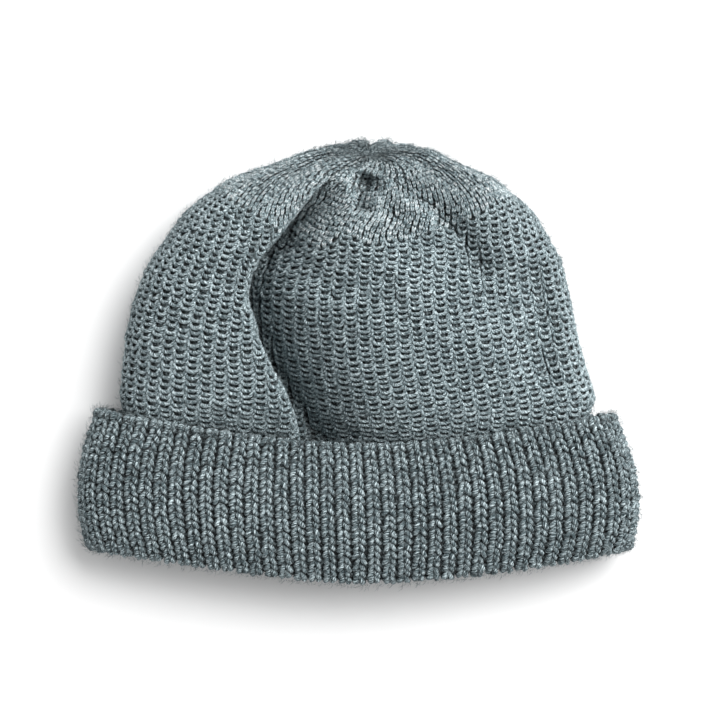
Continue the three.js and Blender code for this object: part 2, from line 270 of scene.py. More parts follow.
# %% Folds of the crown
FOLD_LINES = {
    "crease": [[-0.05, 0.854], [-0.28, 0.673], [-0.40, 0.549], [-0.42, 0.432],
               [-0.33, 0.258], [-0.21, 0.025], [-0.17, -0.135]],
    "notch": [[-0.04, 0.88], [-0.131, 0.80], [-0.282, 0.663], [-0.385, 0.565],
              [-0.409, 0.49], [-0.388, 0.415], [-0.341, 0.301], [-0.25, 0.17],
              [-0.19, 0.03], [-0.16, -0.15], [-0.14, -0.32]],
    "pocket": [[0.045, 0.885], [0.03, 0.84], [0.02, 0.79], [0.012, 0.74]],
    "left_pleat": [[0.02, 0.905], [-0.10, 0.833], [-0.22, 0.753]],
    "right_pleat": [[0.06, 0.905], [0.20, 0.811], [0.34, 0.709]],
    "right_valley": [[0.16, 0.811], [0.34, 0.680], [0.52, 0.563], [0.58, 0.360]],
    "fan_valley": [[0.07, 0.89], [0.20, 0.830], [0.34, 0.755], [0.46, 0.640], [0.54, 0.520]],
    "fan_groove": [[0.07, 0.86], [0.12, 0.795], [0.17, 0.710]],
    "shoulder": [[0.10, 0.913], [0.38, 0.840], [0.60, 0.782], [0.74, 0.651]],
    "side_groove": [[0.70, 0.622], [0.76, 0.418], [0.76, 0.156]],
    "panel_dent": [[-0.20, 0.476], [0.00, 0.447], [0.20, 0.505]],
}
# line, height, offset beside the line, reach to the left and to the right, push across it
FOLDS = [
    ("crease", -0.34, 0.02, 0.045, 0.25, 0),
    ("crease", 0.09, -0.10, 0.34, 0.10, 0.03),
    ("notch", -0.26, -0.01, 0.028, 0.13, -0.04),
    ("notch", -0.22, 0.00, 0.024, 0.055, -0.025),
    ("pocket", -0.22, 0, 0.035, 0.05, 0),
    ("left_pleat", 0.06, 0, 0.06, 0.05, 0),
    ("right_pleat", 0.07, 0, 0.07, 0.09, 0),
    ("right_valley", -0.09, 0, 0.18, 0.14, 0),
    ("fan_valley", -0.09, 0, 0.045, 0.05, 0),
    ("fan_groove", -0.05, 0, 0.035, 0.035, 0),
    ("shoulder", 0.06, 0, 0.12, 0.12, 0),
    ("side_groove", -0.12, 0, 0.11, 0.08, 0),
    ("panel_dent", -0.05, 0, 0.16, 0.16, 0),
]
FOLD_START = 0.22        # shares of its line over which a fold begins and ends
FOLD_END = 0.15
FOLD_LOW = 0.15          # shares of a section's upper height between which folds set in
FOLD_HIGH = 0.75
RIDGE_START = 1.5        # sections of the crown over which raised folds set in
DEEPEST = 2.2 * KNIT_WALL     # the height below which no fold sinks


def curve_through(corners, steps=40):
    """A smooth curve through points, as even in its bends as their spacing allows."""
    corners = np.array(corners, dtype=float)
    first = 2 * corners[0] - corners[1]
    last = 2 * corners[-1] - corners[-2]
    points = np.vstack([first, corners, last])
    path = []
    for step in range(steps + 1):
        place = (len(corners) - 1) * step / steps
        k = min(int(place), len(corners) - 2)
        t = place - k
        p0, p1, p2, p3 = points[k:k + 4]
        d0, d1, d2 = (np.linalg.norm(b - a) ** 0.5 for a, b in ((p0, p1), (p1, p2), (p2, p3)))
        slope1 = ((p1 - p0) / d0 - (p2 - p0) / (d0 + d1) + (p2 - p1) / d1) * d1
        slope2 = ((p2 - p1) / d1 - (p3 - p1) / (d1 + d2) + (p3 - p2) / d2) * d1
        rise = p2 - p1
        path.append(p1 + t * slope1 + t * t * (3 * rise - 2 * slope1 - slope2)
                    + t ** 3 * (slope1 + slope2 - 2 * rise))
    return np.array(path)


fold_paths = {
    name: curve_through([[x * HALF_CROWN, OPEN_START + y * OPEN_LENGTH] for x, y in line])
    for name, line in FOLD_LINES.items()
}


def beside_line(path, points):
    """Signed distance to a line, share of it passed, and the way across it, for each point."""
    start, run = path[:-1], np.diff(path, axis=0)
    offset = points[:, None, :2] - start[None]
    t = np.clip((offset * run).sum(2) / (run ** 2).sum(1), 0, 1)
    away = np.linalg.norm(offset - t[..., None] * run, axis=2)
    best = away.argmin(axis=1)
    rows = np.arange(len(points))
    across = unit(np.stack([-run[:, 1], run[:, 0]], axis=1))[best]
    side = np.sign((offset[rows, best] * across).sum(1))
    share = (best + t[rows, best]) / len(start)
    return away[rows, best] * side, share, across


def fold(points, shown, risen):
    """Moves points of the crown's front by every fold."""
    moved = points.copy()
    for line, height, offset, left, right, push in FOLDS:
        distance, share, across = beside_line(fold_paths[line], points)
        distance = distance - offset * HALF_CROWN
        reach = np.where(distance < 0, left, right) * HALF_CROWN
        ends = smooth(0, FOLD_START, share) * smooth(0, FOLD_END, 1 - share)
        held = risen if height > 0 else 1
        amount = held * shown * ends * np.exp(-(distance / reach) ** 2)
        moved[:, 2] += height * CROWN_THICKNESS * amount
        moved[:, :2] += across * (push * HALF_CROWN * amount)[:, None]
    # No fold sinks into the back of the crown.
    sunk = shown > 0
    moved[sunk, 2] = np.maximum(moved[sunk, 2], np.minimum(points[sunk, 2], DEEPEST))
    return moved


# %% [markdown]
# The two layers are now drawn as grids of rings. The cuff is followed like a strip of cloth:
# up the inside, round the hem, up the outside and over the rim. The crown is followed from
# inside the cuff to the gather, where eleven small pleats draw it together.

# %% The layers as grids
CUFF_RINGS = 48
CROWN_RINGS = 120
INSIDE_RINGS, HEM_RINGS, RIM_RINGS = 15, 12, 8   # inside the cuff, round its hem, on its rim
TUCK_STEP = 4            # every fourth ring of the cuff has a ring of the crown inside it
PULLED = 0.45            # how much the folds pull the ribs toward them
BACK_DENT = 2.6          # the pleat at the middle of the back is this much deeper
DENT_PLACE, DENT_REACH = 2, 5.0   # in points around from the middle of the back


def cuff_ring(place):
    return evenly(outline(section_at(cuff_table, place)))


def crown_ring(place):
    s = section_at(crown_table, place)
    s["floor"] = max(0, s["floor"])
    points = outline(s)
    high = (points[:, 2] - s["edge"]) / (s["top"] - s["edge"])
    risen = smooth(0, RIDGE_START, place)
    folded = fold(points, smooth(FOLD_LOW, FOLD_HIGH, high), risen)
    # The ribs were even before the cloth was folded, but a fold also pulls them in a little.
    return evenly(folded, (1 - PULLED) * shares_along(points) + PULLED * shares_along(folded))


def normals_of(rings):
    """The outward direction at each point of a grid of rings."""
    rings = np.asarray(rings)
    after = np.concatenate([rings[1:], rings[-1:]])
    before = np.concatenate([rings[:1], rings[:-1]])
    along = after - before
    around = np.roll(rings, -1, axis=1) - np.roll(rings, 1, axis=1)
    return unit(np.cross(along, around))


def length_of(ring):
    return np.linalg.norm(ring - np.roll(ring, -1, axis=0), axis=1).sum()


def turned(ring, normal, up, radius, angles):
    """Rings around a fold of the cloth, and the way they face."""
    centre = ring - radius * normal
    faces = [normal * math.cos(a) + up * math.sin(a) for a in angles]
    return [centre + radius * face for face in faces], faces


cuff_places = np.linspace(0, len(CUFF_ROWS) - 1, CUFF_RINGS)
cuff_rings = np.array([cuff_ring(place) for place in cuff_places])
cuff_normals = normals_of(cuff_rings)
hem_up = unit(cuff_rings[1] - cuff_rings[0])
rim_up = unit(cuff_rings[-1] - cuff_rings[-2])
hem, hem_faces = turned(cuff_rings[0], cuff_normals[0], -hem_up, FOLD_RADIUS,
                        np.radians(np.linspace(172, 8, HEM_RINGS)))
rim, rim_faces = turned(cuff_rings[-1], cuff_normals[-1], rim_up, KNIT_WALL / 2,
                        np.radians(np.linspace(12, 120, RIM_RINGS)))
inner = (cuff_rings - 2 * FOLD_RADIUS * cuff_normals)[INSIDE_RINGS - 1::-1]
inner_faces = (-cuff_normals)[INSIDE_RINGS - 1::-1]
strip = np.array([*inner, *hem, *cuff_rings, *rim])
strip_faces = np.array([*inner_faces, *hem_faces, *cuff_normals, *rim_faces])

# The crown's rows inside the cuff ease away from it toward the throat.
open_places = np.linspace(0, len(CROWN_ROWS), CROWN_RINGS)
open_rings = np.array([crown_ring(place) for place in open_places])
nested = cuff_rings - (KNIT_WALL + LAYER_GAP) * cuff_normals
tucked = []
for k in range(0, CUFF_RINGS - TUCK_STEP, TUCK_STEP):
    eased = smooth(0, 1, k / (CUFF_RINGS - 1)) ** 2
    target = np.stack([open_rings[0][:, 0], nested[k][:, 1], open_rings[0][:, 2]], axis=1)
    tucked.append(nested[k] + (target - nested[k]) * eased)
crown_rings = np.array([*tucked, *open_rings])
crown_normals = normals_of(crown_rings)
gather = np.concatenate([np.zeros(len(tucked)), [
    max(0, section_at(crown_table, place)["gather"]) for place in open_places]])
turns = (1 + np.cos(2 * math.pi * PLEATS * np.arange(AROUND) / AROUND)) / 2
from_back = (np.arange(AROUND) + AROUND / 2) % AROUND - AROUND / 2
turns = turns + BACK_DENT * np.exp(-((from_back - DENT_PLACE) / DENT_REACH) ** 2)
pleat = (PLEAT_DEPTH * gather[:, None] * turns
         * smooth(0, 4 * PLEAT_DEPTH, crown_rings[:, :, 2]))
crown_rings = crown_rings - pleat[:, :, None] * crown_normals

# The hat's own lengths start at the hem. Its place on the floor is the cuff solid's.
node_low = np.array(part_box("cuff")[0]) / MM
strip_low = strip.reshape(-1, 3).min(axis=0)
shift = np.array([node_low[0] - strip_low[0], node_low[1] - strip_low[1], 0])
strip, cuff_rings, crown_rings = strip + shift, cuff_rings + shift, crown_rings + shift
print("shift", shift.round(2))
for name, rings in (("cuff", cuff_rings), ("crown", crown_rings)):
    print(name, rings.reshape(-1, 3).min(0).round(1), rings.reshape(-1, 3).max(0).round(1))

# %% [markdown]
# Under the yarn lies the body of each layer: a closed shell with the real wall, whose outer
# face is a little below the crests, so that the gaps between stitches look dark and deep. Its
# inner face is what shows in the opening, so its UV map counts ribs and rows, and the knit of
# the inside is a relief in its material. A wall could be made with Solidify, but the wall is
# measured from the crests here, so both faces are drawn.

# %% Bodies of the two layers
# Widths and heights that the stitches are drawn for, in millimetres
CUFF_PITCH, CUFF_ROW = 6.1, 3.0
CROWN_PITCH, CROWN_ROW = 5.5, 2.7
TOP_PITCH, TOP_ROW = 2.7, 2.7
YARN_DEEP = 2.1          # from the crests down to the shell's outer face
SHELL_STEP = 2           # every second point around is enough for the shells
THIN, THINNEST = 1.15, 0.12   # how the shell thins where the gather draws the cloth together
RIM_SUNK = 1.2           # from the yarn on the rim down to the shell's rim
CREST_LENGTH = length_of(cuff_rings[CUFF_RINGS // 2])


def new_piece(name, points, faces, uvs=None):
    """A smooth mesh piece from points in millimetres, with a UV pair for each face corner."""
    mesh = bpy.data.meshes.new(name)
    mesh.from_pydata((np.array(points) * MM).tolist(), [], faces)
    if uvs:
        layer = mesh.uv_layers.new(name="UVMap")
        layer.data.foreach_set("uv", np.array(uvs, dtype=np.float32).ravel())
    mesh.polygons.foreach_set("use_smooth", [True] * len(mesh.polygons))
    mesh.update()
    return add_object(name, mesh)


def volume_of(piece):
    """The volume inside a closed mesh, less than nothing where its faces point inward."""
    corners = np.empty(len(piece.data.vertices) * 3)
    piece.data.vertices.foreach_get("co", corners)
    corners = corners.reshape(-1, 3)
    total = 0.0
    for face in piece.data.polygons:
        p = corners[list(face.vertices)]
        for k in range(1, len(p) - 1):
            total += np.dot(p[0], np.cross(p[k], p[k + 1])) / 6
    return total


def face_outward(piece):
    """Turns the faces of a closed mesh outward."""
    if volume_of(piece) < 0:
        piece.data.flip_normals()
    return piece


def mesh_from_rings(name, rings, rows, closed=False, tips=(None, None)):
    """A mesh through rings of points in millimetres, with a UV map in ribs and rows."""
    count = len(rings[0])
    vertices = np.concatenate(rings)
    faces, uvs = [], []
    last = len(rings) if closed else len(rings) - 1
    step = RIBS / count
    for k in range(last):
        a, b = k * count, ((k + 1) % len(rings)) * count
        for j in range(count):
            n = (j + 1) % count
            faces.append((a + j, b + j, b + n, a + n))
            u0, u1, v0, v1 = j * step, (j + 1) * step, rows[k], rows[k + 1]
            uvs += [(u0, v0), (u0, v1), (u1, v1), (u1, v0)]
    for tip, ring, turn in ((tips[0], 0, 1), (tips[1], len(rings) - 1, -1)):
        if tip is None:
            continue
        vertices = np.vstack([vertices, [tip]])
        centre = len(vertices) - 1
        for j in range(count):
            n = (j + 1) % count
            pair = (ring * count + j, ring * count + n)
            faces.append((centre, *pair[::turn]))
            uvs += [(j * step, rows[ring])] * 3
    return face_outward(new_piece(name, vertices, faces, uvs))


def rows_along(rings, row_height):
    """How many rows of knitting lie before each ring, on average around the hat."""
    steps = np.linalg.norm(np.diff(np.array(rings), axis=0), axis=2).mean(axis=1)
    return np.concatenate([[0], np.cumsum(steps)]) / row_height


lengths = np.array([length_of(ring) for ring in crown_rings])
thin = np.clip(lengths / CREST_LENGTH * THIN, THINNEST, 1)[:, None, None]
every = slice(None, None, SHELL_STEP)
keep = [*range(0, len(tucked), 3), *range(len(tucked), len(crown_rings), 2)]
crown_outer = (crown_rings - YARN_DEEP * thin * crown_normals)[keep][:, every]
crown_inner = (crown_rings - KNIT_WALL * crown_normals)[keep][:, every]
crown_walk = [*crown_inner[::-1], *crown_outer]
crown_shell = mesh_from_rings(
    "crown_knit", crown_walk, rows_along(crown_walk, CROWN_ROW),
    tips=(crown_inner[-1].mean(axis=0), crown_outer[-1].mean(axis=0)))

outer_face = cuff_rings - YARN_DEEP * cuff_normals
inner_face = cuff_rings - KNIT_WALL * cuff_normals
deep_rim = turned(cuff_rings[-1], cuff_normals[-1], rim_up, KNIT_WALL / 2,
                  np.radians([45, 90, 135]))[0]
deep_rim = [ring - rim_up * RIM_SUNK for ring in deep_rim]
deep_hem = [
    cuff_rings[0] - FOLD_RADIUS * cuff_normals[0]
    + (FOLD_RADIUS - YARN_DEEP) * (cuff_normals[0] * math.cos(a) - hem_up * math.sin(a))
    for a in np.radians([0, 36, 72, 108, 144, 180])]
cuff_walk = [ring[every] for ring in [
    *deep_hem[:0:-1], *outer_face[::4], *deep_rim, *inner_face[::-4]]]
cuff_shell = mesh_from_rings(
    "cuff_knit", cuff_walk, rows_along([*cuff_walk, cuff_walk[0]], CUFF_ROW), closed=True)
for shell in (crown_shell, cuff_shell):
    print(shell.name, len(shell.data.polygons), "faces,",
          round(volume_of(shell) * 1e6, 1), "cm3")

# %% [markdown]
# Now the stitches. Fisherman's rib shows raised columns of fat loops. On the cuff, which is
# turned up, the loops stand on their heads: two plump lobes lean together like a roof. On the
# crown each loop is pulled wide into a U. Each kind is one short piece of yarn, a bent tube of
# a few dozen faces, and Geometry Nodes lays it in every place. Relief in a material would be
# lighter, but it leaves a smooth edge, and the edge of real knitting is bumpy.

# %% One stitch of each kind
YARN_SIDES = 5
DARK_BELOW, LIT_ABOVE = -2.9, -0.2     # depths under the crests where light ends and begins


def yarn_piece(name, strands, radius, ends=0.45):
    """A stitch: tubes of yarn along short paths in millimetres, with a UV map along the yarn.
    The tube narrows to a share of its radius at both ends, and tells how lit each depth is."""
    sides = YARN_SIDES
    vertices, faces, uvs, lit = [], [], [], []
    for path in strands:
        path = np.array(path, dtype=float)
        steps = len(path)
        length = walked(path)
        run = unit(np.gradient(path, axis=0))
        side = unit(np.cross(run, [0, 0, 1.0]))
        up = np.cross(side, run)
        start = len(vertices)
        for k in range(steps):
            share = min(max(length[k] / length[-1], 0.02), 0.98)
            r = radius * (ends + (1 - ends) * math.sin(math.pi * share) ** 0.5)
            for s in range(sides):
                a = 2 * math.pi * s / sides
                vertices.append(path[k] + r * (math.cos(a) * side[k] + math.sin(a) * up[k]))
                lit.append(smooth(DARK_BELOW, LIT_ABOVE, vertices[-1][2]))
        for k in range(steps - 1):
            for s in range(sides):
                n = (s + 1) % sides
                a, b = start + k * sides, start + (k + 1) * sides
                faces.append((a + s, a + n, b + n, b + s))
                u0, u1 = s / sides, (s + 1) / sides
                v0, v1 = length[k], length[k + 1]
                uvs += [(u0, v0), (u1, v0), (u1, v1), (u0, v1)]
        for ring, turn in ((0, -1), (steps - 1, 1)):
            cap = [start + ring * sides + s for s in range(sides)]
            faces.append(tuple(cap[::turn]))
            uvs += [(s / sides, length[ring]) for s in range(sides)][::turn]
    stitch = new_piece(name, vertices, faces, uvs)
    stitch.data.attributes.new("lit", "FLOAT", "POINT").data.foreach_set("value", lit)
    return face_outward(stitch)


def both_sides(path, pitch, row, joined=False):
    """A path, drawn in shares of the pitch and the row and in millimetres of depth, and its
    mirror image, as two strands or as one that runs through the middle."""
    path = [[x * pitch, y * row, z] for x, y, z in path]
    mirror = [[-x, y, z] for x, y, z in path]
    return [mirror[::-1] + path[1:]] if joined else [path, mirror]


roof = [[0.03, 0.72, -2.9], [0.10, 0.47, -1.9], [0.18, 0.22, -1.2], [0.255, -0.04, -1.05],
        [0.32, -0.30, -1.5], [0.38, -0.56, -2.8]]
roof_stitch = yarn_piece("roof_stitch", both_sides(roof, CUFF_PITCH, CUFF_ROW), 1.02)

loop = [[0, -0.24, -0.85], [0.20, -0.20, -0.8], [0.35, -0.04, -0.85], [0.42, 0.25, -0.95],
        [0.45, 0.65, -1.2], [0.47, 1.1, -2.5]]
loop_stitch = yarn_piece(
    "loop_stitch", both_sides(loop, CROWN_PITCH, CROWN_ROW, joined=True), 0.84, ends=0.6)

vee = [[0.08, -0.62, -1.8], [0.14, -0.22, -0.65], [0.22, 0.25, -0.6], [0.30, 0.68, -1.8]]
vee_stitch = yarn_piece("vee_stitch", both_sides(vee, TOP_PITCH, TOP_ROW), 0.55)
print({s.name: len(s.data.polygons) for s in (roof_stitch, loop_stitch, vee_stitch)})

# %% [markdown]
# Two effects are shared by all the wool: the heathered colour, and the twist of the yarn. Each
# is a node group with named inputs. Heathered wool is dyed before it is spun, so light and
# dark fibres lie side by side in one strand, and the flecks run along the twist.

# %% Shared node groups


def new_group(name, inputs, outputs):
    """A shader node group with its sockets; inputs give their default values."""
    group = bpy.data.node_groups.new(name, "ShaderNodeTree")
    for label, kind, value in inputs:
        socket = group.interface.new_socket(label, in_out="INPUT", socket_type=kind)
        if value is not None:
            socket.default_value = value
    for label, kind in outputs:
        group.interface.new_socket(label, in_out="OUTPUT", socket_type=kind)
    return group, group.nodes.new("NodeGroupInput"), group.nodes.new("NodeGroupOutput")


def add(tree, kind, values=None, **settings):
    """A node with its settings, and values or links for its inputs."""
    node = tree.nodes.new(kind)
    for key, value in settings.items():
        setattr(node, key, value)
    for key, value in (values or {}).items():
        if isinstance(value, bpy.types.NodeSocket):
            tree.links.new(value, node.inputs[key])
        else:
            node.inputs[key].default_value = value
    return node


def math_node(tree, operation, a, b=0.0):
    return add(tree, "ShaderNodeMath", {0: a, 1: b}, operation=operation).outputs[0]


def weighted(tree, *terms):
    """The sum of sockets, each times its weight."""
    parts = [math_node(tree, "MULTIPLY", value, weight) for value, weight in terms]
    total = parts[0]
    for part in parts[1:]:
        total = math_node(tree, "ADD", total, part)
    return total


FLOAT, COLOR, VECTOR = "NodeSocketFloat", "NodeSocketColor", "NodeSocketVector"

# Twisted yarn: the height of its plies, and coordinates that run along its fibres
twist, t_in, t_out = new_group("twisted_yarn", [
    ("Around", FLOAT, 0.0), ("Along", FLOAT, 0.0), ("Plies", FLOAT, 3.0),
    ("Turn length", FLOAT, 3.2), ("Shift", FLOAT, 0.0)],
    [("Height", FLOAT), ("Fibres", VECTOR)])
turns_along = math_node(twist, "DIVIDE", t_in.outputs["Along"], t_in.outputs["Turn length"])
helix = math_node(twist, "ADD", t_in.outputs["Around"], turns_along)
phase = math_node(twist, "MULTIPLY", helix, t_in.outputs["Plies"])
wave = math_node(twist, "SINE", math_node(twist, "MULTIPLY", phase, 2 * math.pi))
round_wave = math_node(twist, "POWER", math_node(twist, "ABSOLUTE", math_node(
    twist, "MULTIPLY", math_node(twist, "ADD", wave, 1.0), 0.5)), 0.6)
fibres = add(twist, "ShaderNodeCombineXYZ", {
    "X": math_node(twist, "MULTIPLY", helix, 11.0),
    "Y": math_node(twist, "MULTIPLY", t_in.outputs["Along"], 0.7),
    "Z": t_in.outputs["Shift"]})
twist.links.new(round_wave, t_out.inputs["Height"])
twist.links.new(fibres.outputs[0], t_out.inputs["Fibres"])

# Heathered colour: a fine mix of light and dark fibres, with slow changes over the hat
heather, h_in, h_out = new_group("heathered_wool", [
    ("Fibres", VECTOR, None), ("Place", VECTOR, None), ("Tone", FLOAT, 0.5),
    ("Dark", COLOR, (0.026, 0.043, 0.050, 1)), ("Middle", COLOR, (0.142, 0.188, 0.202, 1)),
    ("Light", COLOR, (0.62, 0.73, 0.76, 1))],
    [("Color", COLOR), ("Fibre height", FLOAT)])
fleck = add(heather, "ShaderNodeTexNoise", {
    "Vector": h_in.outputs["Fibres"], "Scale": 1.0, "Detail": 3.0, "Roughness": 0.65})
patch = add(heather, "ShaderNodeTexNoise", {
    "Vector": h_in.outputs["Place"], "Scale": 1100.0, "Detail": 2.0, "Roughness": 0.6})
slow = add(heather, "ShaderNodeTexNoise", {
    "Vector": h_in.outputs["Place"], "Scale": 34.0, "Detail": 2.0})
toned = weighted(
    heather, (fleck.outputs["Fac"], 0.78), (patch.outputs["Fac"], 0.22),
    (math_node(heather, "SUBTRACT", h_in.outputs["Tone"], 0.5), 0.03),
    (math_node(heather, "SUBTRACT", slow.outputs["Fac"], 0.5), 0.05))
colour = h_in.outputs["Dark"]
for label, low, high in (("Middle", 0.40, 0.50), ("Light", 0.50, 0.595)):
    share = add(heather, "ShaderNodeMapRange", {0: toned, 1: low, 2: high})
    colour = add(heather, "ShaderNodeMix", {
        0: share.outputs[0], 6: colour, 7: h_in.outputs[label]}, data_type="RGBA").outputs[2]
heather.links.new(colour, h_out.inputs["Color"])
heather.links.new(fleck.outputs["Fac"], h_out.inputs["Fibre height"])
print("groups:", twist.name, heather.name)

# %% [markdown]
# The yarn's finish is matt and slightly hairy, so it is rough, with a little sheen, which
# lights the fibres that stand up at a grazing angle. The plies and the fibres are relief.

# %% Wool materials
PLIES = 3.0
TURN_LENGTH = 3.4        # of yarn for one turn of its plies, in millimetres
PLY_DEPTH = 0.28         # of the relief, in millimetres


def matt_material(name, roughness, specular, sheen=0.0, sheen_roughness=0.5):
    """A matt material, with its node tree and its shader."""
    material = bpy.data.materials.new(name)
    material.use_nodes = True
    shader = material.node_tree.nodes["Principled BSDF"]
    for label, value in (("Roughness", roughness), ("Specular IOR Level", specular),
                         ("Sheen Weight", sheen), ("Sheen Roughness", sheen_roughness)):
        shader.inputs[label].default_value = value
    return material, material.node_tree, shader


def darkened(tree, colour, shade, clamp=False):
    """A colour times a shade."""
    return add(tree, "ShaderNodeMix", {0: 1.0, 6: colour, 7: shade}, data_type="RGBA",
               blend_type="MULTIPLY", clamp_result=clamp).outputs[2]


def wool_material(name, deepest, light):
    """Yarn with painted shade and light by its depth: its colour runs from the deepest to the
    light share of it.
    """
    material, tree, shader = matt_material(name, 0.92, 0.25, 0.15, 0.45)
    shader.inputs["Sheen Tint"].default_value = (0.86, 0.94, 0.96, 1)
    uv = add(tree, "ShaderNodeSeparateXYZ", {0: add(tree, "ShaderNodeUVMap").outputs[0]})
    tone = add(tree, "ShaderNodeAttribute", attribute_name="tone").outputs["Fac"]
    place = add(tree, "ShaderNodeTexCoord")
    yarn = add(tree, "ShaderNodeGroup", {
        "Around": uv.outputs["X"], "Along": uv.outputs["Y"], "Plies": PLIES,
        "Turn length": TURN_LENGTH, "Shift": math_node(tree, "MULTIPLY", tone, 40.0)},
        node_tree=twist)
    colour = add(tree, "ShaderNodeGroup", {
        "Fibres": yarn.outputs["Fibres"], "Place": place.outputs["Object"], "Tone": tone},
        node_tree=heather)
    height, fibre = yarn.outputs["Height"], colour.outputs["Fibre height"]
    # Between the plies the yarn is darker, because light hardly gets in.
    groove = add(tree, "ShaderNodeMapRange", {0: height, 2: 0.7, 3: 0.75})
    # Deep between the stitches hardly any light gets in either.
    lit = add(tree, "ShaderNodeAttribute", attribute_name="lit")
    deep = add(tree, "ShaderNodeMapRange", {0: lit.outputs["Fac"], 3: deepest, 4: light})
    shade = math_node(tree, "MULTIPLY", groove.outputs[0], deep.outputs[0])
    shaded = darkened(tree, colour.outputs["Color"], shade, clamp=True)
    tree.links.new(shaded, shader.inputs["Base Color"])
    relief = weighted(tree, (height, 1.0), (fibre, 0.8))
    bump = add(tree, "ShaderNodeBump", {
        "Strength": 0.9, "Distance": PLY_DEPTH * MM, "Height": relief})
    tree.links.new(bump.outputs[0], shader.inputs["Normal"])
    return material


# The three copies of the wool differ only by painted light and shade: the cuff's deep ribs lie
# in shade, so it is painted darkest, and the gathered top faces the lamp, so its crests are
# painted lightest.
cuff_wool = wool_material("cuff_yarn", 0.18, 1.05)
crown_wool = wool_material("crown_yarn", 0.50, 1.27)
top_wool = wool_material("top_yarn", 0.20, 2.00)

# The knit of the shells: columns and rows of small loops, counted by the UV map, with painted
# shade in their hollows
knit_wool, tree, shader = matt_material("heathered_knit", 0.95, 0.2, 0.1, 0.5)
uv = add(tree, "ShaderNodeSeparateXYZ", {0: add(tree, "ShaderNodeUVMap").outputs[0]})
place = add(tree, "ShaderNodeTexCoord")
rib = math_node(tree, "COSINE", math_node(tree, "MULTIPLY", uv.outputs["X"], 2 * math.pi))
bow = math_node(tree, "MULTIPLY", math_node(tree, "ABSOLUTE", math_node(tree, "SINE", math_node(
    tree, "MULTIPLY", uv.outputs["X"], math.pi))), 0.6)
row = math_node(tree, "COSINE", math_node(tree, "MULTIPLY", math_node(
    tree, "ADD", uv.outputs["Y"], bow), 2 * math.pi))
relief = weighted(tree, (rib, 0.9), (row, 0.55))
fine = add(tree, "ShaderNodeVectorMath", {0: place.outputs["Object"], 1: (900, 900, 900)},
           operation="MULTIPLY")
colour = add(tree, "ShaderNodeGroup", {
    "Fibres": fine.outputs[0], "Place": place.outputs["Object"]}, node_tree=heather)
# Painted shade: the colour is darkened to 0.06 of it in the hollows of the relief, and even the
# crests to 0.7 of it, as the shells lie in shade under the yarn.
painted_hollow_shade = add(tree, "ShaderNodeMapRange", {0: relief, 1: -1.2, 2: 0.8, 3: 0.06, 4: 0.7})
tree.links.new(darkened(tree, colour.outputs["Color"], painted_hollow_shade.outputs[0]),
               shader.inputs["Base Color"])
knit_bump = add(tree, "ShaderNodeBump", {
    "Strength": 1.0, "Distance": 1.1 * MM, "Height": relief})
fibre_bump = add(tree, "ShaderNodeBump", {
    "Strength": 0.5, "Distance": 0.3 * MM, "Height": colour.outputs["Fibre height"],
    "Normal": knit_bump.outputs[0]})
tree.links.new(fibre_bump.outputs[0], shader.inputs["Normal"])
for shell in (crown_shell, cuff_shell):
    shell.data.materials.append(knit_wool)
print("materials:", cuff_wool.name, crown_wool.name, top_wool.name, knit_wool.name)

# %% [markdown]
# Geometry Nodes lay the stitches. Every point of a bare mesh is one stitch, and it carries
# which way it faces, which way the row runs, how wide and tall the stitch is there, and a tone.
# The tree turns, stretches and slightly disturbs each copy, because no two stitches in wool
# are alike, then makes the copies real and bends the whole a little with a noise.

# %% A node tree that lays stitches
laying = bpy.data.node_groups.new("lay_stitches", "GeometryNodeTree")
sockets = {}
for label, kind in (("Points", "NodeSocketGeometry"), ("Stitch", "NodeSocketObject"),
                    ("Wool", "NodeSocketMaterial"), ("Turn", FLOAT), ("Swell", FLOAT),
                    ("Unevenness", FLOAT), ("Seed", "NodeSocketInt")):
    sockets[label] = laying.interface.new_socket(label, in_out="INPUT", socket_type=kind)
laying.interface.new_socket("Knitting", in_out="OUTPUT", socket_type="NodeSocketGeometry")
g_in = laying.nodes.new("NodeGroupInput")
g_out = laying.nodes.new("NodeGroupOutput")
shape = add(laying, "GeometryNodeObjectInfo", {"Object": g_in.outputs["Stitch"]})


def carried(name):
    node = add(laying, "GeometryNodeInputNamedAttribute", {"Name": name},
               data_type="FLOAT_VECTOR")
    return node.outputs["Attribute"]


facing = add(laying, "FunctionNodeAxesToRotation", {
    "Primary Axis": carried("facing"), "Secondary Axis": carried("across")},
    primary_axis="Z", secondary_axis="X")


def random_about(middle, reach, seed_step):
    """A random vector whose parts lie within reach of middle, different for each stitch."""
    ends = [math_node(laying, operation, middle, reach) for operation in ("SUBTRACT", "ADD")]
    low, high = (add(laying, "ShaderNodeCombineXYZ", dict.fromkeys("XYZ", end)) for end in ends)
    return add(laying, "FunctionNodeRandomValue", {
        0: low.outputs[0], 1: high.outputs[0],
        "Seed": math_node(laying, "ADD", g_in.outputs["Seed"], seed_step)},
        data_type="FLOAT_VECTOR").outputs[0]


